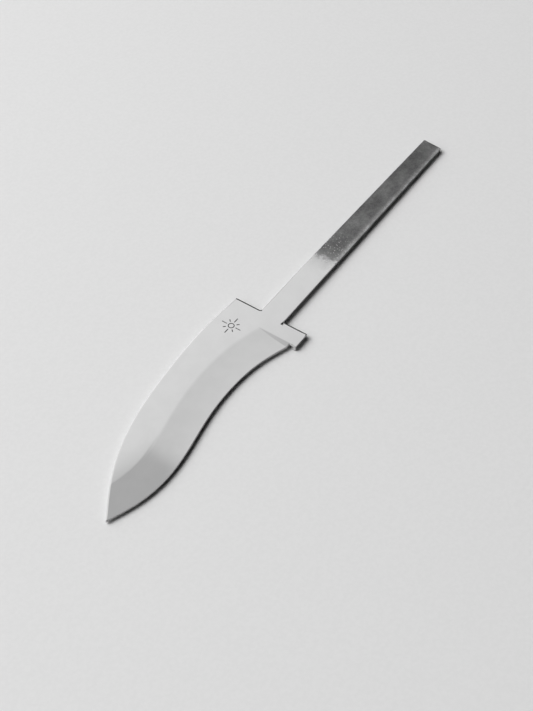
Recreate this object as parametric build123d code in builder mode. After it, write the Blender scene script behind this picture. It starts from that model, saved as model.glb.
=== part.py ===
"""Unhandled knife blade blank: a recurved blade with a stick tang, made of two steels butt-welded end to end.

Millimetres. +X runs along the tang, away from the blade. +Y points from the cutting edge towards the spine.
+Z is normal to the flats, and the mid-plane of the steel is Z = 0. The origin is the middle of the tang's root,
on the plane of the shoulders.
"""

import os

from build123d import *

# Steel bar that everything is cut from
thickness = 2.0
rim_radius = 0.25  # buffed edge all round the flats

# Plan of the blade: two smooth curves that meet at the point
point = (-105.9, -6.6)
shoulder_spine_y = 16.3
spine_points = [(0, shoulder_spine_y), (-20, 17.3), (-45, 15.7), (-70, 11.4), (-90, 3.6), point]
edge_start = (-8.0, -13.4)
edge_points = [edge_start, (-20, -9.5), (-36, -7.7), (-52, -8.9), (-67, -11.6), (-80, -12.8), (-93, -11.2), point]

# Heel: the square corner of the ricasso below the tang
heel_length = -edge_start[0]
heel_y = -15.8
notch_radius = 0.5  # file notch where the edge meets the heel
notch_shift = 0.3  # the notch lies this much on the blade's side of the heel

# Tang
tang_length = 118.0
tang_root_width = 10.4
tang_end_width = 8.4
tang_end_skew = 0.8  # the sawn end is this much longer on its spine side
corner_cut_length = 1.4  # saw kerf that runs into the heel along the tang
corner_cut_width = 0.35

# Grinding: a shallow flat bevel on each face, which leaves the edge thick, to be sharpened later.
# Towards the point the bevel is a little narrower and takes the edge down thinner.
edge_thickness_at_heel = 1.4
edge_thickness_at_point = 1.0
bevel_width_at_heel = 13.3
bevel_width_at_point = 11.1
plunge_x = -7.4  # where the plunge leaves the flat
plunge_slope = 0.16  # fall of the plunge for each millimetre towards the point

# Butt weld between the hard blade and the soft tang bar, ground flush
weld_x = 37.0
weld_face_width = 1.6
weld_waist_width = 0.5

# Engraved mark on the upper face: a small ring with eight rays
mark_centre = (-12.6, 9.6)
mark_ring_radius = 1.1
mark_ray_start = 1.9
mark_long_ray_end = 4.2
mark_short_ray_end = 3.2
mark_rays = 8
mark_line_width = 0.4
mark_depth = 0.1

half = thickness / 2
top_face = Plane.XY.offset(half)
cutter_margin = 3.0  # how far the wheel's wedge stands out of the steel
cutter_lap = 0.05  # how far its slope carries on above the flat
cutter_reach = 30.0  # half-width of the blocks that cut the bar to length
wheel_overrun = 6.0  # how far the wheel runs past each end of the edge


def bar_profile(start_at_face, start_at_middle, end_at_face, end_at_middle):
    """Side view of a length of the bar, with each end angled for the weld from both faces."""
    Polyline(
        (start_at_middle, 0),
        (start_at_face, half),
        (end_at_face, half),
        (end_at_middle, 0),
        (end_at_face, -half),
        (start_at_face, -half),
        close=True,
    )


# Blank: the whole outline, blade and tang, cut from the bar and rounded along its rims
with BuildPart() as blank:
    with BuildSketch(Plane.XY.offset(-half)):
        with BuildLine():
            Spline(*spine_points)
            Spline(*edge_points)
            Polyline(edge_start, (-heel_length, heel_y), (0, heel_y), (0, -tang_root_width / 2))
            Polyline(
                (0, -tang_root_width / 2),
                (tang_length - tang_end_skew, -tang_end_width / 2),
                (tang_length, tang_end_width / 2),
                (0, tang_root_width / 2),
                (0, shoulder_spine_y),
            )
        make_face()
    extrude(amount=thickness)
    rims = blank.edges().filter_by(lambda edge: abs(abs(edge.center().Z) - half) < 0.01)
    fillet(rims, radius=rim_radius)

# Grind: what the wheel takes off each face, a wedge swept along the edge and ended by the plunge
with BuildPart() as grind:
    with BuildLine() as wheel_path:
        edge_curve = Spline(*edge_points)
        Line(edge_curve @ 0 - (edge_curve % 0) * wheel_overrun, edge_curve @ 0)
        Line(edge_curve @ 1, edge_curve @ 1 + (edge_curve % 1) * wheel_overrun)
    path = wheel_path.wires()[0]
    for distance, edge_thickness, bevel_width in (
        (0, edge_thickness_at_heel, bevel_width_at_heel),
        (1, edge_thickness_at_point, bevel_width_at_point),
    ):
        fall = (half - edge_thickness / 2) / bevel_width
        across = (path % distance).cross(Vector(0, 0, 1))
        with BuildSketch(Plane(origin=path @ distance, x_dir=across, z_dir=-(path % distance))):
            with BuildLine():
                Polyline(
                    (-cutter_margin, edge_thickness / 2 - cutter_margin * fall),
                    (bevel_width + cutter_lap / fall, half + cutter_lap),
                    (bevel_width + cutter_lap / fall, half + cutter_margin),
                    (-cutter_margin, half + cutter_margin),
                    close=True,
                )
            make_face()
    sweep(path=path, multisection=True)
    split(bisect_by=Plane(origin=(plunge_x, 0, half), z_dir=(-plunge_slope, 0, 1)), keep=Keep.TOP)
    mirror(about=Plane.XY)

# Blade: hard polished steel, with the first part of the tang
with BuildPart() as blade:
    add(blank.part)
    add(grind.part, mode=Mode.SUBTRACT)
    with BuildSketch(Plane.XZ):
        with BuildLine():
            bar_profile(point[0] - 1, point[0] - 1, weld_x - weld_face_width / 2, weld_x - weld_waist_width / 2)
        make_face()
    extrude(amount=cutter_reach, both=True, mode=Mode.INTERSECT)
    with Locations((edge_start[0] - notch_shift, edge_start[1])):
        Hole(notch_radius)
    with Locations((-corner_cut_length / 2, -(tang_root_width + corner_cut_width) / 2)):
        Box(corner_cut_length, corner_cut_width, thickness, mode=Mode.SUBTRACT)
    with BuildSketch(top_face):
        with Locations(mark_centre):
            Circle(mark_ring_radius + mark_line_width / 2)
            Circle(mark_ring_radius - mark_line_width / 2, mode=Mode.SUBTRACT)
            for ray_end, start_angle in ((mark_long_ray_end, 0), (mark_short_ray_end, 360 / mark_rays)):
                with PolarLocations((mark_ray_start + ray_end) / 2, mark_rays // 2, start_angle):
                    SlotOverall(ray_end - mark_ray_start, mark_line_width)
    extrude(amount=-mark_depth, mode=Mode.SUBTRACT)
blade.part.label = "blade"

# Weld seam: filler of the double-V butt weld
with BuildPart() as weld_seam:
    add(blank.part)
    with BuildSketch(Plane.XZ):
        with BuildLine():
            bar_profile(
                weld_x - weld_face_width / 2,
                weld_x - weld_waist_width / 2,
                weld_x + weld_face_width / 2,
                weld_x + weld_waist_width / 2,
            )
        make_face()
    extrude(amount=cutter_reach, both=True, mode=Mode.INTERSECT)
weld_seam.part.label = "weld_seam"

# Tang bar: soft dull steel, from the weld to the sawn end
with BuildPart() as tang_bar:
    add(blank.part)
    with BuildSketch(Plane.XZ):
        with BuildLine():
            bar_profile(weld_x + weld_face_width / 2, weld_x + weld_waist_width / 2, tang_length + 1, tang_length + 1)
        make_face()
    extrude(amount=cutter_reach, both=True, mode=Mode.INTERSECT)
tang_bar.part.label = "tang_bar"

os.makedirs("parts", exist_ok=True)
for piece in (blade, weld_seam, tang_bar):
    export_step(piece.part, f"parts/{piece.part.label}.step")
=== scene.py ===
"""Looks of the knife blade blank: polished blade, ground weld seam and dull tang bar, on a pale floor.

Shapes are worked out in millimetres in the part's own frame (+X along the tang, +Y to the spine, +Z off the
flats) and are turned into metres only when a mesh is made.
"""

import math

import bpy
import numpy as np
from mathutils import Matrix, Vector, geometry, kdtree


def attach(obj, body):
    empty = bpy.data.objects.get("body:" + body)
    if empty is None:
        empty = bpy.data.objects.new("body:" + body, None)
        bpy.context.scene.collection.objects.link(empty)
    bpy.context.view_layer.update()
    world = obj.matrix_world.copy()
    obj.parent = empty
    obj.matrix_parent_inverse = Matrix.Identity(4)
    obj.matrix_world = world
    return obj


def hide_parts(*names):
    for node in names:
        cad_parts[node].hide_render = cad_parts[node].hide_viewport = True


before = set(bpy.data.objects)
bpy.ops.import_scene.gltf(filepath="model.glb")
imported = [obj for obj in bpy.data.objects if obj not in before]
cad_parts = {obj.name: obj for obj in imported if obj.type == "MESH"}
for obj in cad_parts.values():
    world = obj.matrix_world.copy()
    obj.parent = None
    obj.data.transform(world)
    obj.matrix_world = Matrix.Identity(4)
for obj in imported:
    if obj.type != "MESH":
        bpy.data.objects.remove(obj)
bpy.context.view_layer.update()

MM = 0.001

# Steel
HALF = 1.0  # half the stock's thickness

# Rims: the buff has rolled the faces off towards the outline, and the corner then turns tightly to the side
ROLL_WIDTH = 0.12
ROLL_WIDTH_AT_SPINE = 0.7
ROLL_WIDTH_AT_SHOULDERS = 0.85
ROLL_NARROWS = (10, 30)  # stretch of the tang where its roll on the spine side narrows
ROLL_BLEND = 1.2  # reach over which one width runs into the next
ROLL_TILT = math.radians(28)  # how far the face leans over by the end of the roll
CORNER_WIDTH = 0.09
CORNER_LIMIT = 0.8  # where the outline itself turns, the corner stays under this share of its radius
CORNER_TILTS = (40, 55, 70, 90)

# Plan, as the part's source gives it
POINT = (-105.9, -6.6)
SPINE = [(0, 16.3), (-20, 17.3), (-45, 15.7), (-70, 11.4), (-90, 3.6), POINT]
EDGE_START = (-8.0, -13.4)
EDGE = [EDGE_START, (-20, -9.5), (-36, -7.7), (-52, -8.9), (-67, -11.6), (-80, -12.8), (-93, -11.2), POINT]
HEEL_Y = -15.8
NOTCH_CENTRE = (-8.3, -13.4)
NOTCH_RADIUS = 0.5
TANG_LENGTH = 118.0
TANG_ROOT = 10.4
TANG_END = 8.4
TANG_SKEW = 0.8
KERF_LENGTH = 1.4
KERF_WIDTH = 0.35

# How far the corners of the plan are worn round
CORNER_WEAR = 0.25
NOTCH_WEAR = 0.16
KERF_WEAR = 0.06
TANG_END_WEAR = 0.3

# Grinding
DROP_AT_HEEL = 0.3  # how far each bevel falls to the edge
DROP_AT_POINT = 0.5
BEVEL_AT_HEEL = 13.3
BEVEL_AT_POINT = 11.1
HOLLOW = 0.5  # share of the bevel's fall that is hollow and not straight
PLUNGE_X = -7.4
PLUNGE_SLOPE = 0.16
GRIND_SOFTNESS = 0.03  # depth over which the buff has run flat and bevel together
PLUNGE_SOFTNESS = 0.006
WHEEL_OVERRUN = 60  # how far the wheel starts before the edge, in steps of the edge's curve

# Weld
WELD_X = 37.0
WELD_FACE = 1.6
WELD_WAIST = 0.5

# Engraved mark
MARK_CENTRE = (-12.6, 9.6)
MARK_RING = 1.1
MARK_RAY_START = 1.9
MARK_RAY_ENDS = (4.2, 3.2)
MARK_RAYS = 8
MARK_WIDTH = 0.4
MARK_DEPTH = 0.1
MARK_WALL = 0.12  # width of the groove's sloping sides
LEAST_GROOVE = 1e-4  # a face whose middle lies deeper than this belongs to a groove

# Meshes
PATH_STEP = 0.05  # between the points of an outline before it is thinned out
ROW_STEP = 6  # one point of a row along the rim for so many points of the outline
ROLL_SHARES = (0.35, 0.65, 1.0)  # rows of points across the rolled-off rim
FLAT_SHARE = 1.15  # the row that follows them, where the face is flat again
FLAT_MARGIN = 0.06  # least gap between the corner and that row
BLADE_SPACING = 1.0  # between the points strewn over the faces
BAR_SPACING = 1.4
CLEAR_OF_LOOP = 0.45  # share of the spacing that strewn points keep from the face's outline
CLEAR_OF_ROWS = 0.3  # and from the rows
ROW_CLEAR_OF_LOOP = 0.05
SAME_PLACE = 0.03  # points of rows that fall within a cell this wide are one
CLEAR_OF_GROOVE = 0.06
EDGE_COUNT = 700  # points on the curves of the plan
SPINE_COUNT = 900
GRIND_ROWS = (-1.2, -0.8, -0.4, 0, 0.4, 0.8, 1.2)  # rows of points beside the line where the bevel starts
PLUNGE_ROWS = (-0.2, -0.08, 0, 0.08, 0.2)  # the same at the head and the foot of the plunge


# ---------------------------------------------------------------- plan curves

def smooth_curve(points, count):
    """Natural cubic spline through the points, with knots at their chord lengths."""
    points = np.array(points, float)
    knots = np.concatenate([[0], np.cumsum(np.linalg.norm(np.diff(points, axis=0), axis=1))])
    gaps = np.diff(knots)
    size = len(points)
    matrix = np.eye(size)
    right = np.zeros((size, 2))
    for i in range(1, size - 1):
        matrix[i, i - 1:i + 2] = gaps[i - 1], 2 * (gaps[i - 1] + gaps[i]), gaps[i]
        right[i] = 6 * ((points[i + 1] - points[i]) / gaps[i] - (points[i] - points[i - 1]) / gaps[i - 1])
    bend = np.linalg.solve(matrix, right)
    at = np.linspace(0, knots[-1], count)
    span = np.clip(np.searchsorted(knots, at, side="right") - 1, 0, size - 2)
    gap = gaps[span][:, None]
    a = (knots[span + 1] - at)[:, None] / gap
    b = 1 - a
    bow = ((a ** 3 - a) * bend[span] + (b ** 3 - b) * bend[span + 1]) * gap ** 2 / 6
    return a * points[span] + b * points[span + 1] + bow


def straight(start, end, spacing=0.1):
    """Evenly spaced points from start to end, both included."""
    start, end = np.array(start, float), np.array(end, float)
    count = max(2, int(np.linalg.norm(end - start) / spacing) + 1)
    return start + (end - start) * np.linspace(0, 1, count)[:, None]


def arc(centre, radius, start_angle, end_angle, count=24):
    """Points on an arc, angles in degrees."""
    turn = np.radians(np.linspace(start_angle, end_angle, count))
    return np.array(centre) + radius * np.stack([np.cos(turn), np.sin(turn)], axis=1)


def even(path, spacing):
    """The same path with evenly spaced points."""
    steps = np.linalg.norm(np.diff(path, axis=0), axis=1)
    keep = np.concatenate([[True], steps > 1e-9])
    path, steps = path[keep], steps[steps > 1e-9]
    along = np.concatenate([[0], np.cumsum(steps)])
    at = np.linspace(0, along[-1], int(along[-1] / spacing) + 1)
    return np.stack([np.interp(at, along, path[:, k]) for k in (0, 1)], axis=1)


def blurred(rows, reach, spacing=PATH_STEP):
    """Evenly spaced rows of numbers, each column smoothed over a reach, with its two ends left in place."""
    width = int(4 * reach / spacing)
    weights = np.exp(-0.5 * (np.arange(-width, width + 1) * spacing / reach) ** 2)
    weights /= weights.sum()
    before = 2 * rows[0] - rows[width:0:-1]
    after = 2 * rows[-1] - rows[-2:-width - 2:-1]
    padded = np.concatenate([before, rows, after])
    return np.stack([np.convolve(column, weights, mode="valid") for column in padded.T], axis=1)


def round_corners(path, reach):
    """Wears the corners of an open path round, to a radius of about 0.9 reach, and keeps its two ends."""
    return blurred(even(path, PATH_STEP), reach)


def thin_out(path, turn=math.radians(3), longest=0.7):
    """Indices of the points a path needs: closer where it turns, never further apart than longest."""
    step = np.diff(path, axis=0)
    heading = np.unwrap(np.arctan2(step[:, 1], step[:, 0]))
    length = np.linalg.norm(step, axis=1)
    kept, turned, gone = [0], 0.0, 0.0
    for i in range(1, len(path) - 1):
        turned += abs(heading[i] - heading[i - 1])
        gone += length[i - 1]
        if turned > turn or gone > longest:
            kept.append(i)
            turned, gone = 0.0, 0.0
    return kept + [len(path) - 1]


def outward(path):
    """Unit normals on the right-hand side of a path, which is outside when the steel is on its left."""
    ahead = np.gradient(path, axis=0)
    ahead /= np.linalg.norm(ahead, axis=1)[:, None]
    return np.stack([ahead[:, 1], -ahead[:, 0]], axis=1)


def distance_to(path, places):
    """Distance from each place to a path, and how far along the path its nearest point is, from 0 to 1."""
    start, step = path[:-1], np.diff(path, axis=0)
    square = (step ** 2).sum(axis=1)
    best = np.full(len(places), np.inf)
    where = np.zeros(len(places))
    for i in range(0, len(places), 2000):
        gap = places[i:i + 2000, None] - start
        share = np.clip((gap * step).sum(axis=2) / square, 0, 1)
        far = np.linalg.norm(gap - share[..., None] * step, axis=2)
        nearest = far.argmin(axis=1)
        rows = np.arange(len(nearest))
        best[i:i + 2000] = far[rows, nearest]
        where[i:i + 2000] = (nearest + share[rows, nearest]) / len(step)
    return best, where


def gap_to(others, places):
    """Distance from each place to the nearest of the others."""
    tree = kdtree.KDTree(len(others))
    for i, (x, y) in enumerate(others):
        tree.insert((x, y, 0), i)
    tree.balance()
    return np.array([tree.find((x, y, 0))[2] for x, y in places])


def inside(loop, places):
    """True for each place within a closed loop."""
    x, y = places[:, 0][:, None], places[:, 1][:, None]
    ends = np.roll(loop, -1, axis=0)
    spans = (loop[:, 1] > y) != (ends[:, 1] > y)
    rise = np.where(ends[:, 1] == loop[:, 1], 1, ends[:, 1] - loop[:, 1])
    crossing = loop[:, 0] + (y - loop[:, 1]) / rise * (ends[:, 0] - loop[:, 0])
    return (spans & (x < crossing)).sum(axis=1) % 2 == 1


def tang_half_width(x):
    """Half the tang's width, which narrows evenly from the shoulders to the sawn end."""
    return (TANG_ROOT + (TANG_END - TANG_ROOT) * x / TANG_LENGTH) / 2


# ---------------------------------------------------------------- height of the faces

edge_curve = smooth_curve(EDGE, EDGE_COUNT)
heel_run = straight(edge_curve[0] + (edge_curve[0] - edge_curve[1]) * WHEEL_OVERRUN, edge_curve[0], 0.5)
wheel_path = np.concatenate([heel_run[:-1], edge_curve])


def soft_min(a, b, reach):
    """The smaller of two heights, run together where they are closer than reach."""
    blend = np.clip(reach - np.abs(a - b), 0, None) / reach
    return np.minimum(a, b) - blend ** 2 * reach / 4


def soft_max(a, b, reach):
    """The larger of two heights, run together in the same way."""
    return -soft_min(-a, -b, reach)


def ground_height(places):
    """Height of the upper face over the mid-plane where it is flat or bevel, run together by the buff."""
    distance, along = distance_to(wheel_path, places)
    along = np.clip((along * (len(wheel_path) - 1) - len(heel_run) + 1) / (len(edge_curve) - 1), 0, 1)
    across = distance / (BEVEL_AT_HEEL + (BEVEL_AT_POINT - BEVEL_AT_HEEL) * along)
    drop = DROP_AT_HEEL + (DROP_AT_POINT - DROP_AT_HEEL) * along
    bevel = HALF - drop + drop * ((1 - HOLLOW) * across + HOLLOW * across ** 2)
    return soft_min(bevel, np.full(len(places), HALF), GRIND_SOFTNESS)


def blade_height(places):
    """Height of the upper face with the plunge, where the grinding stops short of the heel."""
    plunge = HALF + PLUNGE_SLOPE * (places[:, 0] - PLUNGE_X)
    cut = soft_max(ground_height(places), plunge, PLUNGE_SOFTNESS)
    return soft_min(cut, np.full(len(places), HALF), PLUNGE_SOFTNESS)


def flat_height(places):
    """Height of the upper face of a plain bar."""
    return np.full(len(places), HALF)


def roll_width(facing, x):
    """Width of the rolled-off rim where the outline faces a way, in X and Y, at x."""
    to_end, to_spine = np.clip(np.transpose(facing), 0, 1)
    at_spine = np.interp(x, ROLL_NARROWS, (ROLL_WIDTH_AT_SPINE, ROLL_WIDTH))
    return ROLL_WIDTH + (at_spine - ROLL_WIDTH) * to_spine + (ROLL_WIDTH_AT_SHOULDERS - ROLL_WIDTH) * to_end


def roll_fall(distance, width):
    """How far the face has dropped at a distance in from the outline, where the buff has rolled it off."""
    radius = width / math.sin(ROLL_TILT)
    return radius - np.sqrt(radius ** 2 - np.clip(width - distance, 0, width) ** 2)


def widths_along(outline, widths, where):
    """Width of the roll at shares of the way along an outline, whose points have their own widths."""
    return np.interp(where * (len(outline) - 1), np.arange(len(outline)), widths)


def rolled(face, outline, widths):
    """The face's height with its rims rolled off along the outline."""
    def height(places):
        distance, where = distance_to(outline, places)
        return face(places) - roll_fall(distance, widths_along(outline, widths, where))
    return height


def corner_steps(radius):
    """The tight corner from the roll down to the side, as steps: how far out, how far down, and the tilt."""
    steps = []
    for tilt in CORNER_TILTS:
        turn = math.radians(tilt)
        beyond = radius * (math.sin(turn) - math.sin(ROLL_TILT))
        fall = radius * (math.cos(ROLL_TILT) - math.cos(turn))
        steps.append((beyond, fall, turn))
    return steps


def face_normals(height, places, reach=0.02):
    """Normals of the upper face, from how its height changes."""
    normals = np.ones((len(places), 3))
    for k in (0, 1):
        shift = np.zeros(2)
        shift[k] = reach
        normals[:, k] = -(height(places + shift) - height(places - shift)) / (2 * reach)
    return normals / np.linalg.norm(normals, axis=1)[:, None]


# ---------------------------------------------------------------- meshes

UPSIDE_DOWN = np.array([1, 1, -1])


def weld_x(side, height):
    """Where the weld's side (-1 blade, 1 bar) stands at a height off the mid-plane."""
    return WELD_X + side * (WELD_WAIST + (WELD_FACE - WELD_WAIST) * abs(height) / HALF) / 2


def mesh_object(name, places, faces, normals, flat_faces):
    """An object from points in millimetres, smooth by the given normals except on flat_faces."""
    mesh = bpy.data.meshes.new(name)
    mesh.from_pydata([tuple(p) for p in np.asarray(places) * MM], [], faces)
    mesh.polygons.foreach_set("use_smooth", [True] * len(mesh.polygons))
    around_flat = {key for index in flat_faces for key in mesh.polygons[index].edge_keys}
    for line in mesh.edges:
        line.use_edge_sharp = line.key in around_flat
    loop_normals = np.zeros((len(mesh.loops), 3))
    for polygon in mesh.polygons:
        for loop in polygon.loop_indices:
            if polygon.index in flat_faces:
                loop_normals[loop] = polygon.normal
            else:
                loop_normals[loop] = normals[mesh.loops[loop].vertex_index]
    mesh.normals_split_custom_set([tuple(n) for n in loop_normals])
    made = bpy.data.objects.new(name, mesh)
    bpy.context.scene.collection.objects.link(made)
    return made


def groove_loops():
    """Closed outlines of the mark's grooves, at the surface and at the foot of their sloping sides."""
    loops = []
    for inset in (0, MARK_WALL):
        half_width = MARK_WIDTH / 2 - inset
        for radius in (MARK_RING - half_width, MARK_RING + half_width):
            loops.append(arc(MARK_CENTRE, radius, 0, 360, 41)[:-1])
        for ray in range(MARK_RAYS):
            angle = 360 / MARK_RAYS * ray
            along = np.array([math.cos(math.radians(angle)), math.sin(math.radians(angle))])
            start = MARK_CENTRE + along * (MARK_RAY_START + MARK_WIDTH / 2)
            end = MARK_CENTRE + along * (MARK_RAY_ENDS[ray % 2] - MARK_WIDTH / 2)
            near = arc(start, half_width, angle + 90, angle + 270, 7)
            far = arc(end, half_width, angle - 90, angle + 90, 7)
            loops.append(np.concatenate([near, far]))
    return loops


def groove_depth(places):
    """Depth of the mark's grooves at each place."""
    off = places - np.array(MARK_CENTRE)
    from_line = np.abs(np.linalg.norm(off, axis=1) - MARK_RING)
    for ray in range(MARK_RAYS):
        angle = math.radians(360 / MARK_RAYS * ray)
        along = np.array([math.cos(angle), math.sin(angle)])
        start, end = MARK_RAY_START + MARK_WIDTH / 2, MARK_RAY_ENDS[ray % 2] - MARK_WIDTH / 2
        share = np.clip(off @ along, start, end)
        from_line = np.minimum(from_line, np.linalg.norm(off - share[:, None] * along, axis=1))
    return MARK_DEPTH * np.clip((MARK_WIDTH / 2 - from_line) / MARK_WALL, 0, 1)


def roll_rows(path, out, outline, widths):
    """Rows of points beside a path, across its rolled-off rim and where the face is flat again."""
    width = widths_along(outline, widths, distance_to(outline, path)[1])
    offsets = [share * width for share in ROLL_SHARES]
    offsets.append(np.maximum(FLAT_SHARE * width, CORNER_WIDTH + FLAT_MARGIN))
    rows = []
    for offset in offsets:
        row = (path - out * offset[:, None])[::ROW_STEP]
        clear = distance_to(outline, row)[0] > offset[::ROW_STEP] * 0.97
        rows.append(row[clear])
    return rows


def rim_rows(path, out, inset, height, side):
    """Places and normals of the rim, row by row: over the upper corner, down the side, under the lower one.

    The first and the last row lie inset from the path on the upper and the lower face.
    """
    inner = path - out * inset[:, None]
    top = height(inner)
    rows = [np.column_stack([inner, top])]
    normals = [face_normals(height, inner)]
    sideways = np.column_stack([out, np.zeros(len(path))])
    for beyond, fall, turn in corner_steps(inset / (1 - math.sin(ROLL_TILT))):
        rows.append(np.column_stack([inner + out * beyond[:, None], top - fall]))
        normals.append(sideways * math.sin(turn) + np.array([0, 0, math.cos(turn)]))
    rows.append(np.column_stack([path, np.zeros(len(path))]))
    normals.append(sideways)
    rows += [row * UPSIDE_DOWN for row in rows[-2::-1]]
    normals += [row * UPSIDE_DOWN for row in normals[-2::-1]]
    for row in rows:
        for end in (0, -1):
            row[end, 0] = weld_x(side, row[end, 2])
    return rows, normals


def face_points(loop, spacing, features, grooves):
    """Points to strew inside a loop: evenly, closer along the features, and none on the grooves' walls."""
    low, high = loop.min(axis=0), loop.max(axis=0)
    strewn = []
    between_rows = spacing * 0.866  # as in a grid of even triangles
    for k, y in enumerate(np.arange(low[1], high[1], between_rows)):
        x = np.arange(low[0] + (k % 2) * spacing / 2, high[0], spacing)
        strewn.append(np.column_stack([x, np.full(len(x), y)]))
    strewn = np.concatenate(strewn)
    closed = np.concatenate([loop, loop[:1]])
    strewn = strewn[inside(loop, strewn)]
    strewn = strewn[distance_to(closed, strewn)[0] > spacing * CLEAR_OF_LOOP]
    features = features[inside(loop, features)]
    features = features[distance_to(closed, features)[0] > ROW_CLEAR_OF_LOOP]
    strewn = strewn[gap_to(features, strewn) > CLEAR_OF_ROWS * spacing]
    apart = np.unique(np.round(features / SAME_PLACE), axis=0, return_index=True)[1]
    strewn = np.concatenate([strewn, features[apart]])
    for groove in grooves:
        wall = np.concatenate([groove, groove[:1]])
        strewn = strewn[distance_to(wall, strewn)[0] > CLEAR_OF_GROOVE]
    return strewn


def triangulate(name, loop, grooves, strewn):
    """Points of a face, in the order given, and triangles between them that keep to the loop and grooves."""
    points = np.concatenate([loop, *grooves, strewn])
    rings = [list(range(len(loop)))]
    for groove in grooves:
        first = rings[-1][-1] + 1
        rings.append(list(range(first, first + len(groove))))
    edges = [(ring[i - 1], ring[i]) for ring in rings for i in range(len(ring))]
    found = geometry.delaunay_2d_cdt([Vector(p) for p in points], edges, rings[:1], 1, 1e-6)
    if len(found[0]) != len(points):
        raise RuntimeError(f"{name}: the triangulation changed its points")
    return np.array([tuple(p) for p in found[0]]), found[2]


def plate(name, outline, side, face, spacing, extra_rows=(), grooves=()):
    """A plate of steel with buffed rims, open towards the weld, where it ends in the weld's double V.

    outline runs round the plate with the steel on its left, and past the weld at both ends. side is -1 for
    the blade and 1 for the bar. face gives the upper face's height, and the lower face mirrors it.
    """
    widths = blurred(roll_width(outward(outline), outline[:, 0])[:, None], ROLL_BLEND)[:, 0]
    thin = thin_out(outline)
    outline, widths = outline[thin], widths[thin]
    height = rolled(face, outline, widths)
    path = until_weld(outline, side)
    out = outward(path)
    rolls = roll_rows(path, out, outline, widths)
    heading = np.unwrap(np.arctan2(out[:, 1], out[:, 0]))
    bend = np.clip(np.gradient(heading) / PATH_STEP, 0, None)
    thin = thin_out(path)
    inset = 1 / (1 / CORNER_WIDTH + bend[thin] / CORNER_LIMIT)
    rows, row_normals = rim_rows(path[thin], out[thin], inset, height, side)
    count = len(thin)
    faces = []
    for r in range(len(rows) - 1):
        for i in range(count - 1):
            a, b = r * count + i, r * count + i + 1
            faces.append((a, a + count, b + count, b))

    # Upper face: its first points are the rim's first row, and the next ones close it along the weld
    ring = rows[0][:, :2]
    loop = np.concatenate([ring, straight(ring[-1], ring[0], spacing)[1:-1]])
    strewn = face_points(loop, spacing, np.concatenate([*extra_rows, *rolls]), grooves)
    points, triangles = triangulate(name, loop, grooves, strewn)
    surface = height(points)
    up = face_normals(height, points)[count:]
    on_weld = slice(len(ring), len(loop))
    points[on_weld, 0] = weld_x(side, surface[on_weld])
    depth = groove_depth(points) if grooves else np.zeros(len(points))
    base = len(rows) * count
    fresh = len(points) - count
    places = np.concatenate([
        *rows,
        np.column_stack([points, surface - depth])[count:],
        np.column_stack([points, -surface])[count:],
    ])
    normals = np.concatenate([*row_normals, up, up * UPSIDE_DOWN])

    def upper(i):
        return i if i < count else base + i - count

    def under(i):
        return base - count + i if i < count else base + fresh + i - count

    flat_faces = set()
    middles = np.array([points[list(triangle)].mean(axis=0) for triangle in triangles])
    grooved = groove_depth(middles) > LEAST_GROOVE if grooves else np.zeros(len(middles), bool)
    for triangle, cut in zip(triangles, grooved):
        if cut:
            flat_faces.add(len(faces))
        faces.append(tuple(upper(i) for i in triangle))
        faces.append(tuple(under(i) for i in reversed(triangle)))

    # The two faces of the weld's V
    middle_row = len(rows) // 2
    line = list(range(len(ring), len(loop)))
    starts = [r * count for r in range(len(rows))]
    ends = [r * count + count - 1 for r in range(len(rows))]
    top_v = starts[:middle_row + 1] + ends[middle_row::-1] + [upper(i) for i in line]
    bottom_v = ends[middle_row:] + [under(i) for i in line] + starts[:middle_row - 1:-1]
    flat_faces.update((len(faces), len(faces) + 1))
    faces += [tuple(top_v), tuple(bottom_v)]
    return mesh_object(name, places, faces, normals, flat_faces)


def blade_path():
    """Round the blade, steel on the left: from the weld by the spine to the point, and back by the edge."""
    root = TANG_ROOT / 2
    spine = smooth_curve(SPINE, SPINE_COUNT)
    half_way = len(spine) // 2
    edge = edge_curve[::-1]
    at_notch = np.argmax(np.linalg.norm(edge - NOTCH_CENTRE, axis=1) < NOTCH_RADIUS)
    across, up = edge[at_notch] - NOTCH_CENTRE
    heel_x = EDGE_START[0]
    wall_angle = -math.degrees(math.acos((heel_x - NOTCH_CENTRE[0]) / NOTCH_RADIUS))
    notch = arc(NOTCH_CENTRE, NOTCH_RADIUS, math.degrees(math.atan2(up, across)) % 360, wall_angle, 30)
    heel_middle = (heel_x, (NOTCH_CENTRE[1] + HEEL_Y) / 2)
    kerf_side = -root - KERF_WIDTH
    kerf_middle = (-KERF_LENGTH / 2, kerf_side)
    beyond = WELD_X + WELD_FACE
    half_width = tang_half_width(beyond)
    shoulder = [straight((beyond, half_width), (0, root)), straight((0, root), SPINE[0]), spine[:half_way]]
    cutting_edge = [spine[half_way:], edge[:at_notch], notch, straight(notch[-1], heel_middle)]
    heel = [heel_middle, (heel_x, HEEL_Y), (0, HEEL_Y), (0, kerf_side), kerf_middle]
    kerf = [kerf_middle, (-KERF_LENGTH, kerf_side), (-KERF_LENGTH, -root), (beyond, -half_width)]
    return np.concatenate([
        round_corners(np.concatenate(shoulder), CORNER_WEAR),
        round_corners(np.concatenate(cutting_edge), NOTCH_WEAR),
        round_corners(np.array(heel), CORNER_WEAR),
        round_corners(np.array(kerf), KERF_WEAR),
    ])


def until_weld(path, side):
    """The path, ended exactly on the weld's face."""
    on_weld = WELD_X + side * WELD_FACE / 2
    beyond = (path[:, 0] - on_weld) * side < 0
    path = even(path[~beyond], PATH_STEP)
    for end in (0, -1):
        path[end, 0] = on_weld
    return path


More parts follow.
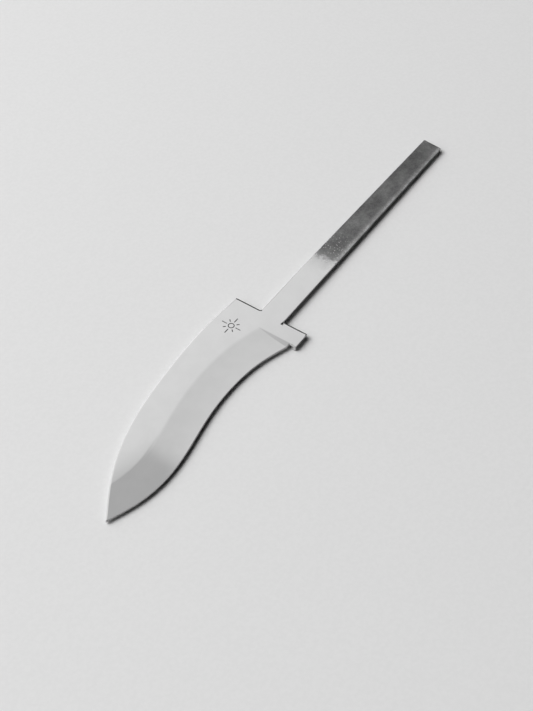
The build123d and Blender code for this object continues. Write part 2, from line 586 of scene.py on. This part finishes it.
def make_blade():
    """The blade, with closer points where the bevel starts and where the plunge leaves the flat and ends."""
    rows = []
    out = outward(wheel_path)
    run = (len(heel_run), len(wheel_path))
    widths = np.interp(np.arange(len(wheel_path)), run, (BEVEL_AT_HEEL, BEVEL_AT_POINT))
    for offset in GRIND_ROWS:
        # The edge path runs towards the point, so the steel is on its right
        line = wheel_path + out * (widths + offset)[:, None]
        rows.append(even(line, 0.6))
    up_plunge = np.linspace(EDGE_START[1], EDGE_START[1] + BEVEL_AT_HEEL + 1, 60)
    head = np.column_stack([np.full(len(up_plunge), PLUNGE_X), up_plunge])
    foot = head.copy()
    for _ in range(8):
        foot[:, 0] = PLUNGE_X - (HALF - ground_height(foot)) / PLUNGE_SLOPE
    for line in (head, foot):
        rows += [line + np.array([shift, 0]) for shift in PLUNGE_ROWS]
    made = plate("polished_blade", blade_path(), -1, blade_height, BLADE_SPACING, rows, groove_loops())
    polygons = made.data.polygons
    middles = np.array([polygon.center for polygon in polygons]) / MM
    engraved = (groove_depth(middles[:, :2]) > LEAST_GROOVE) & (middles[:, 2] > 0)
    polygons.foreach_set("material_index", engraved.astype(int))
    return made


def make_bar():
    """The tang past the weld, with its slightly skewed sawn end."""
    start = WELD_X - WELD_FACE
    corners = [
        (start, -tang_half_width(start)),
        (TANG_LENGTH - TANG_SKEW, -TANG_END / 2),
        (TANG_LENGTH, TANG_END / 2),
        (start, tang_half_width(start)),
    ]
    outline = round_corners(np.array(corners), TANG_END_WEAR)
    return plate("dull_tang_bar", outline, 1, flat_height, BAR_SPACING)


def make_seam():
    """The weld between blade and bar: a loop round the tang's section, run from one V to the other."""
    across = np.sin(np.linspace(-math.pi / 2, math.pi / 2, 25))
    radius = CORNER_WIDTH / (1 - math.sin(ROLL_TILT))

    def section(x):
        """Upper half of the tang's section at x, from one side over to the other: y, z and tilt."""
        half_width = tang_half_width(x)
        y = (half_width - CORNER_WIDTH) * across
        from_side = half_width - np.abs(y)
        z = HALF - roll_fall(from_side, ROLL_WIDTH)
        lean = np.clip(ROLL_WIDTH - from_side, 0, None) / (ROLL_WIDTH / math.sin(ROLL_TILT))
        points = list(zip(y, z, np.arcsin(lean) * np.sign(y)))
        corner = []
        for beyond, fall, turn in corner_steps(radius):
            corner.append((half_width - CORNER_WIDTH + beyond, z[0] - fall, turn))
        corner.append((half_width, 0.0, math.pi / 2))
        return [(-y, z, -tilt) for y, z, tilt in corner[::-1]] + points + corner

    stations = np.linspace(0, 1, 5)
    places, normals = [], []
    for station in stations:
        top = section(WELD_X + WELD_FACE * (station - 0.5))
        loop = top + [(y, -z, math.copysign(math.pi, tilt) - tilt) for y, z, tilt in top[-2:0:-1]]
        for y, z, tilt in loop:
            places.append((weld_x(-1, z) + (weld_x(1, z) - weld_x(-1, z)) * station, y, z))
            normals.append((0, math.sin(tilt), math.cos(tilt)))
    count = len(loop)
    faces = []
    for s in range(len(stations) - 1):
        for i in range(count):
            j = (i + 1) % count
            a, b = s * count, (s + 1) * count
            faces.append((a + i, b + i, b + j, a + j))
    flat_faces = set()
    halfway = len(top) - 1
    for base, turn in ((0, 1), ((len(stations) - 1) * count, -1)):
        upper = list(range(halfway + 1))
        lower = list(range(halfway, count)) + [0]
        for ring in (upper, lower):
            flat_faces.add(len(faces))
            faces.append(tuple(base + i for i in ring[::turn]))
    return mesh_object("ground_weld_seam", places, faces, np.array(normals), flat_faces)


# ---------------------------------------------------------------- materials

# Where the finish changes along the tang, in millimetres from the shoulders
FADING = (26, 37)  # the polish weakens a little
FINISH_CHANGE = (33.5, 40.5)  # and gives way to dull steel, along a smoky line
SMOKE_BLOTCHES = 6  # how far blotches and clouds push that line to and fro
SMOKE_CLOUDS = 5
PITS_START = (33, 37)
PITS_END = (42, 56)
LIGHT_END = (106, 117)

PAINTED_SHEEN_STRIP = (-1.6, -4.0)  # painted sheen, across the tang from its middle line
PAINTED_SHADE_ON_SIDES = (0.84 * HALF, 0.94 * HALF)  # painted shade up the rim, from the shaded side to the face


class Shading:
    """A new material, with short names for building its nodes."""

    def __init__(self, name):
        self.material = bpy.data.materials.new(name)
        self.material.use_nodes = True
        self.nodes, self.links = self.material.node_tree.nodes, self.material.node_tree.links
        self.shader = self.nodes["Principled BSDF"]
        self.place = self.nodes.new("ShaderNodeTexCoord").outputs["Object"]

    def feed(self, socket, value):
        """Sets a socket to a number, or links another node's output to it."""
        if isinstance(value, (int, float)):
            socket.default_value = value
        else:
            self.links.new(value, socket)

    def math(self, operation, *values):
        """The result of an operation on numbers or outputs."""
        node = self.nodes.new("ShaderNodeMath")
        node.operation = operation
        for socket, value in zip(node.inputs, values):
            self.feed(socket, value)
        return node.outputs["Value"]

    def axis(self, letter):
        """One coordinate of the place on the object, in metres."""
        node = self.nodes.new("ShaderNodeSeparateXYZ")
        self.links.new(self.place, node.inputs[0])
        return node.outputs[letter]

    def stretched(self, scale):
        """The place on the object, scaled by axis."""
        node = self.nodes.new("ShaderNodeMapping")
        node.inputs["Scale"].default_value = scale
        self.links.new(self.place, node.inputs["Vector"])
        return node.outputs["Vector"]

    def noise(self, size_mm, detail, stretch=(1, 1, 1)):
        """Noise from 0 to 1 whose blotches are about size_mm across."""
        node = self.nodes.new("ShaderNodeTexNoise")
        node.inputs["Scale"].default_value = 1 / (size_mm * MM)
        node.inputs["Detail"].default_value = detail
        self.links.new(self.stretched(stretch), node.inputs["Vector"])
        return node.outputs["Fac"]

    def spots(self, size_mm):
        """Distance, in cells, from the nearest of the spots strewn about size_mm apart."""
        node = self.nodes.new("ShaderNodeTexVoronoi")
        node.inputs["Scale"].default_value = 1 / (size_mm * MM)
        self.links.new(self.place, node.inputs["Vector"])
        return node.outputs["Distance"]

    def ramp(self, value, low, high, start=0.0, end=1.0):
        """Runs smoothly from start to end as the value goes from low to high."""
        node = self.nodes.new("ShaderNodeMapRange")
        node.interpolation_type = "SMOOTHSTEP"
        for name, number in (("From Min", low), ("From Max", high), ("To Min", start), ("To Max", end)):
            node.inputs[name].default_value = number
        self.feed(node.inputs["Value"], value)
        return node.outputs["Result"]

    def spread(self, noise, start, end):
        """Runs smoothly from start to end over the values that a noise mostly takes."""
        return self.ramp(noise, 0.3, 0.7, start, end)

    def grey(self, value):
        """A colour with the value in all three channels."""
        node = self.nodes.new("ShaderNodeCombineColor")
        for channel in node.inputs:
            self.feed(channel, value)
        return node.outputs["Color"]

    def bump(self, height, depth_mm):
        """A bump node's normal for a height from 0 to 1 that stands for depth_mm."""
        node = self.nodes.new("ShaderNodeBump")
        node.inputs["Distance"].default_value = depth_mm * MM
        self.links.new(height, node.inputs["Height"])
        return node.outputs["Normal"]


def engraving():
    """The rough, darker steel of the engraved grooves."""
    shade = Shading("engraved_groove")
    chatter = shade.noise(0.1, 3)
    colour = shade.grey(shade.spread(chatter, 0.16, 0.34))
    shade.links.new(colour, shade.shader.inputs["Base Color"])
    shade.shader.inputs["Metallic"].default_value = 1
    shade.shader.inputs["Roughness"].default_value = 0.38
    shade.links.new(shade.bump(chatter, 0.02), shade.shader.inputs["Normal"])
    return shade.material


def steel(name, pits):
    """Bar steel, mirror-polished as far as the weld and dull beyond it, with a smoky change between the two.

    pits is how strongly the small bright pits show where the finishes meet.
    """
    shade = Shading(name)
    x, y = shade.axis("X"), shade.axis("Y")
    clouds = shade.noise(7, 3)
    blotches = shade.noise(1.5, 4)
    hairs = shade.noise(0.12, 2, (0.04, 1, 1))
    grain = shade.noise(0.16, 3)

    # How dull the steel is, from 0 to 1, with a smoky edge
    wander = shade.math("MULTIPLY", shade.math("SUBTRACT", blotches, 0.5), SMOKE_BLOTCHES * MM)
    smoky = shade.math("ADD", x, wander)
    wander = shade.math("MULTIPLY", shade.math("SUBTRACT", clouds, 0.5), SMOKE_CLOUDS * MM)
    smoky = shade.math("ADD", smoky, wander)
    fading = shade.ramp(x, FADING[0] * MM, FADING[1] * MM, 0, 0.25)
    changing = shade.ramp(smoky, FINISH_CHANGE[0] * MM, FINISH_CHANGE[1] * MM, 0, 0.75)
    dull = shade.math("ADD", changing, fading)

    # Tone of the dull steel: cloudy and lighter at the sawn end, with a painted sheen brightening a strip
    # along the edge side
    tone = shade.spread(clouds, 0.28, 0.44)
    tone = shade.math("MULTIPLY", tone, shade.spread(blotches, 0.88, 1.12))
    tone = shade.math("MULTIPLY", tone, shade.spread(shade.noise(0.45, 3), 0.84, 1.16))
    tone = shade.math("MULTIPLY", tone, shade.ramp(x, LIGHT_END[0] * MM, LIGHT_END[1] * MM, 1.0, 1.35))
    # painted sheen: a strip along the edge side of the dull steel is coloured lighter
    wavy = shade.math("ADD", y, shade.math("MULTIPLY", clouds, 1.2 * MM))
    painted_sheen = shade.ramp(wavy, PAINTED_SHEEN_STRIP[0] * MM, PAINTED_SHEEN_STRIP[1] * MM)
    tone = shade.math("MULTIPLY", tone, shade.math("MULTIPLY_ADD", painted_sheen, 1.2, 1.0))

    # Bright pits, and painted shade that makes the sides darker than the faces
    fading_out = shade.ramp(x, PITS_END[1] * MM, PITS_END[0] * MM)
    near = shade.math("MULTIPLY", fading_out, shade.ramp(x, PITS_START[0] * MM, PITS_START[1] * MM))
    ragged = shade.math("MULTIPLY_ADD", grain, 0.3, shade.spots(1.0))
    specks = shade.math("MULTIPLY", shade.ramp(ragged, 0.42, 0.3, 0, pits), near)
    tone = shade.math("ADD", tone, shade.math("MULTIPLY", specks, 0.9))
    # painted shade: the side walls below the rolled rims are coloured darker than the faces
    height = shade.math("ABSOLUTE", shade.axis("Z"))
    tone = shade.math("MULTIPLY", tone, shade.ramp(height, PAINTED_SHADE_ON_SIDES[0] * MM, PAINTED_SHADE_ON_SIDES[1] * MM, 0.3, 1.0))

    bright = shade.spread(clouds, 0.665, 0.685)
    span = shade.math("SUBTRACT", tone, bright)
    colour = shade.math("MULTIPLY_ADD", span, dull, bright)
    shade.links.new(shade.grey(colour), shade.shader.inputs["Base Color"])
    shade.shader.inputs["Metallic"].default_value = 1

    # Hairlines in the polish and a fine grain in the dull steel
    polish = shade.ramp(hairs, 0.35, 0.75, 0.04, 0.075)
    matt = shade.spread(blotches, 0.36, 0.46)
    rough = shade.math("MULTIPLY_ADD", shade.math("SUBTRACT", matt, polish), dull, polish)
    shade.links.new(rough, shade.shader.inputs["Roughness"])

    relief = shade.math("ADD", shade.math("MULTIPLY", grain, dull), shade.math("MULTIPLY", hairs, 0.03))
    relief = shade.math("SUBTRACT", relief, shade.math("MULTIPLY", specks, 0.6))
    shade.links.new(shade.bump(relief, 0.012), shade.shader.inputs["Normal"])
    return shade.material


# ---------------------------------------------------------------- camera

CAMERA_AZIMUTH = -55.2
CAMERA_ELEVATION = 49.5
CAMERA_AIM = Vector((-15.68, -8.38, -HALF)) * MM
CAMERA_DISTANCE = 0.503
CAMERA_LENS = 70


def direction(azimuth, elevation):
    """Unit vector from the object towards a place, azimuth 0 being -Y and 90 being +X, in degrees."""
    a, e = math.radians(azimuth), math.radians(elevation)
    return Vector((math.sin(a) * math.cos(e), -math.cos(a) * math.cos(e), math.sin(e)))


def make_camera():
    """The camera, which looks down on the blade from the tip's side."""
    data = bpy.data.cameras.new("camera")
    data.lens = CAMERA_LENS
    data.clip_start, data.clip_end = 0.01, 20
    camera = bpy.data.objects.new("camera", data)
    bpy.context.scene.collection.objects.link(camera)
    back = direction(CAMERA_AZIMUTH, CAMERA_ELEVATION)
    camera.location = CAMERA_AIM + back * CAMERA_DISTANCE
    camera.rotation_mode = "QUATERNION"
    camera.rotation_quaternion = (-back).to_track_quat("-Z", "Y")
    bpy.context.scene.camera = camera


# ---------------------------------------------------------------- stage

FLOOR_HALF = 8.0
WINDOW_SIZE = 1.57
WINDOW_POWER = 50
WINDOW_DISTANCE = 2.4


def make_floor():
    """A wide sheet of pale paper under the steel."""
    z = -HALF * MM
    corners = [(x * FLOOR_HALF, y * FLOOR_HALF, z) for x, y in ((-1, -1), (1, -1), (1, 1), (-1, 1))]
    mesh = bpy.data.meshes.new("floor")
    mesh.from_pydata(corners, [], [(0, 1, 2, 3)])
    floor = bpy.data.objects.new("floor", mesh)
    bpy.context.scene.collection.objects.link(floor)
    shade = Shading("paper_floor")
    fibres = shade.noise(1.4, 4)
    colour = shade.grey(shade.spread(fibres, 0.775, 0.795))
    shade.links.new(colour, shade.shader.inputs["Base Color"])
    shade.links.new(shade.bump(fibres, 0.02), shade.shader.inputs["Normal"])
    shade.shader.inputs["Roughness"].default_value = 0.85
    mesh.materials.append(shade.material)


def world_patch(nodes, links, bounds):
    """How much of a patch of the surroundings each direction sees, from 0 to 1.

    bounds holds (vector, low, high): the patch fades in as direction . vector goes from low to high.
    """
    place = nodes.new("ShaderNodeTexCoord")
    share = None
    for vector, low, high in bounds:
        dot = nodes.new("ShaderNodeVectorMath")
        dot.operation = "DOT_PRODUCT"
        dot.inputs[1].default_value = vector
        links.new(place.outputs["Generated"], dot.inputs[0])
        fade = nodes.new("ShaderNodeMapRange")
        fade.interpolation_type = "SMOOTHSTEP"
        fade.inputs["From Min"].default_value = low
        fade.inputs["From Max"].default_value = high
        links.new(dot.outputs["Value"], fade.inputs["Value"])
        if share is None:
            share = fade.outputs["Result"]
            continue
        both = nodes.new("ShaderNodeMath")
        both.operation = "MULTIPLY"
        links.new(share, both.inputs[0])
        links.new(fade.outputs["Result"], both.inputs[1])
        share = both.outputs["Value"]
    return share


def add_levels(nodes, links, base, parts):
    """base plus the sum of level times patch."""
    total = base
    for level, patch in parts:
        step = nodes.new("ShaderNodeMath")
        step.operation = "MULTIPLY_ADD"
        links.new(patch, step.inputs[0])
        step.inputs[1].default_value = level
        if isinstance(total, float):
            step.inputs[2].default_value = total
        else:
            links.new(total, step.inputs[2])
        total = step.outputs["Value"]
    return total


UP = Vector((0, 0, 1))


def seen(elevation, across):
    """Unit vector to a place the camera faces, across degrees to the right of straight ahead."""
    return direction(CAMERA_AZIMUTH + 180 - across, elevation)


def plane(first, second):
    """Normal of the plane through the eye and two directions, on the upper side."""
    normal = first.cross(second).normalized()
    return normal if normal.z > 0 else -normal


def make_world():
    """A dark studio with a bright wall round its left side, from beyond the object to beside the camera.

    Part of the wall is dimmer, and the bevel mirrors that part near the point. Only mirrored rays see the
    horizon and the right-hand wall, and the camera sees a plain pale background.
    """
    world = bpy.data.worlds.new("studio")
    bpy.context.scene.world = world
    world.use_nodes = True
    nodes, links = world.node_tree.nodes, world.node_tree.links
    shown = nodes["Background"]
    shown.inputs["Color"].default_value = (0.72, 0.72, 0.72, 1)
    lighting = nodes.new("ShaderNodeBackground")

    # Each bound is a direction and the two cosines between which the patch fades in
    sides = [(seen(0, -76), 0.02, 0.1), (seen(0, -50), 0.02, 0.1)]
    upper_wall = world_patch(nodes, links, [(UP, 0.58, 0.66), *sides])
    to_right = world_patch(nodes, links, [(seen(54, 90), 0.56, 0.7), *sides])
    ceiling = world_patch(nodes, links, [(UP, 0.83, 0.9), *sides])
    overhead = world_patch(nodes, links, [(UP, 0.92, 0.97), *sides])
    left_wall = world_patch(nodes, links, [
        (UP, 0.08, 0.25), (-UP, -0.66, -0.58), (seen(0, -98), 0, 0.15), (seen(0, -60), 0, 0.1),
    ])
    horizon = world_patch(nodes, links, [(-UP, -0.2, -0.08)])
    right_wall = world_patch(nodes, links, [(UP, 0.05, 0.12), (-UP, -0.5, -0.35), (seen(0, 80), 0.5, 0.75)])

    # The dimmer part of the wall, with a bent edge
    dim_bounds = [
        (plane(seen(54.1, -10.8), seen(53.3, -7.9)), -0.012, 0.012),
        (seen(0, 75), -0.03, 0.03),
        (UP, 0.66, 0.72),
        *sides,
    ]
    dim_edges = (
        plane(seen(53.2, -8.3), seen(55.9, -4.5)),
        plane(seen(55.9, -4.5), seen(56.9, -1.6)),
    )
    dim_wall = nodes.new("ShaderNodeMath")
    dim_wall.operation = "MAXIMUM"
    for socket, edge in zip(dim_wall.inputs, dim_edges):
        links.new(world_patch(nodes, links, [*dim_bounds, (edge, -0.022, 0.0)]), socket)

    # Brightness of the patches, laid over each other
    level = add_levels(nodes, links, 0.003, [
        (0.98, upper_wall), (-0.24, to_right), (-0.2, ceiling), (-0.45, overhead), (1.25, left_wall),
    ])
    walls = nodes.new("ShaderNodeMix")
    walls.inputs["B"].default_value = 0.57
    links.new(dim_wall.outputs["Value"], walls.inputs["Factor"])
    links.new(level, walls.inputs["A"])
    path = nodes.new("ShaderNodeLightPath")
    room = nodes.new("ShaderNodeMath")
    room.operation = "MULTIPLY_ADD"
    links.new(path.outputs["Is Glossy Ray"], room.inputs[0])
    links.new(add_levels(nodes, links, 0.0, [(0.35, horizon), (0.45, right_wall)]), room.inputs[1])
    links.new(walls.outputs["Result"], room.inputs[2])
    links.new(room.outputs["Value"], lighting.inputs["Color"])
    mix = nodes.new("ShaderNodeMixShader")
    links.new(path.outputs["Is Camera Ray"], mix.inputs["Fac"])
    links.new(lighting.outputs["Background"], mix.inputs[1])
    links.new(shown.outputs["Background"], mix.inputs[2])
    links.new(mix.outputs["Shader"], nodes["World Output"].inputs["Surface"])


def make_window():
    """One large soft light from the left, which the steel does not mirror."""
    data = bpy.data.lights.new("window", "AREA")
    data.shape = "RECTANGLE"
    data.size, data.size_y = WINDOW_SIZE, WINDOW_SIZE
    data.energy = WINDOW_POWER
    light = bpy.data.objects.new("window", data)
    bpy.context.scene.collection.objects.link(light)
    aim = seen(46, -80)
    light.location = aim * WINDOW_DISTANCE
    light.rotation_mode = "QUATERNION"
    light.rotation_quaternion = (-aim).to_track_quat("-Z", "Y")
    light.visible_camera = False
    light.visible_glossy = False


make_camera()
make_floor()
make_world()
make_window()

blade = make_blade()
seam = make_seam()
bar = make_bar()
blade.data.materials.append(steel("mirror_polished_steel", 0.5))
blade.data.materials.append(engraving())
seam.data.materials.append(steel("ground_weld_steel", 1.0))
bar.data.materials.append(steel("dull_bar_steel", 0.7))
pieces = (
    (blade, "blade", "polished_steel"),
    (seam, "weld_seam", "weld_steel"),
    (bar, "tang_bar", "dull_steel"),
)
for piece, node, slot in pieces:
    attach(piece, "root")
    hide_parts(node)

bpy.context.scene.view_settings.view_transform = "Standard"
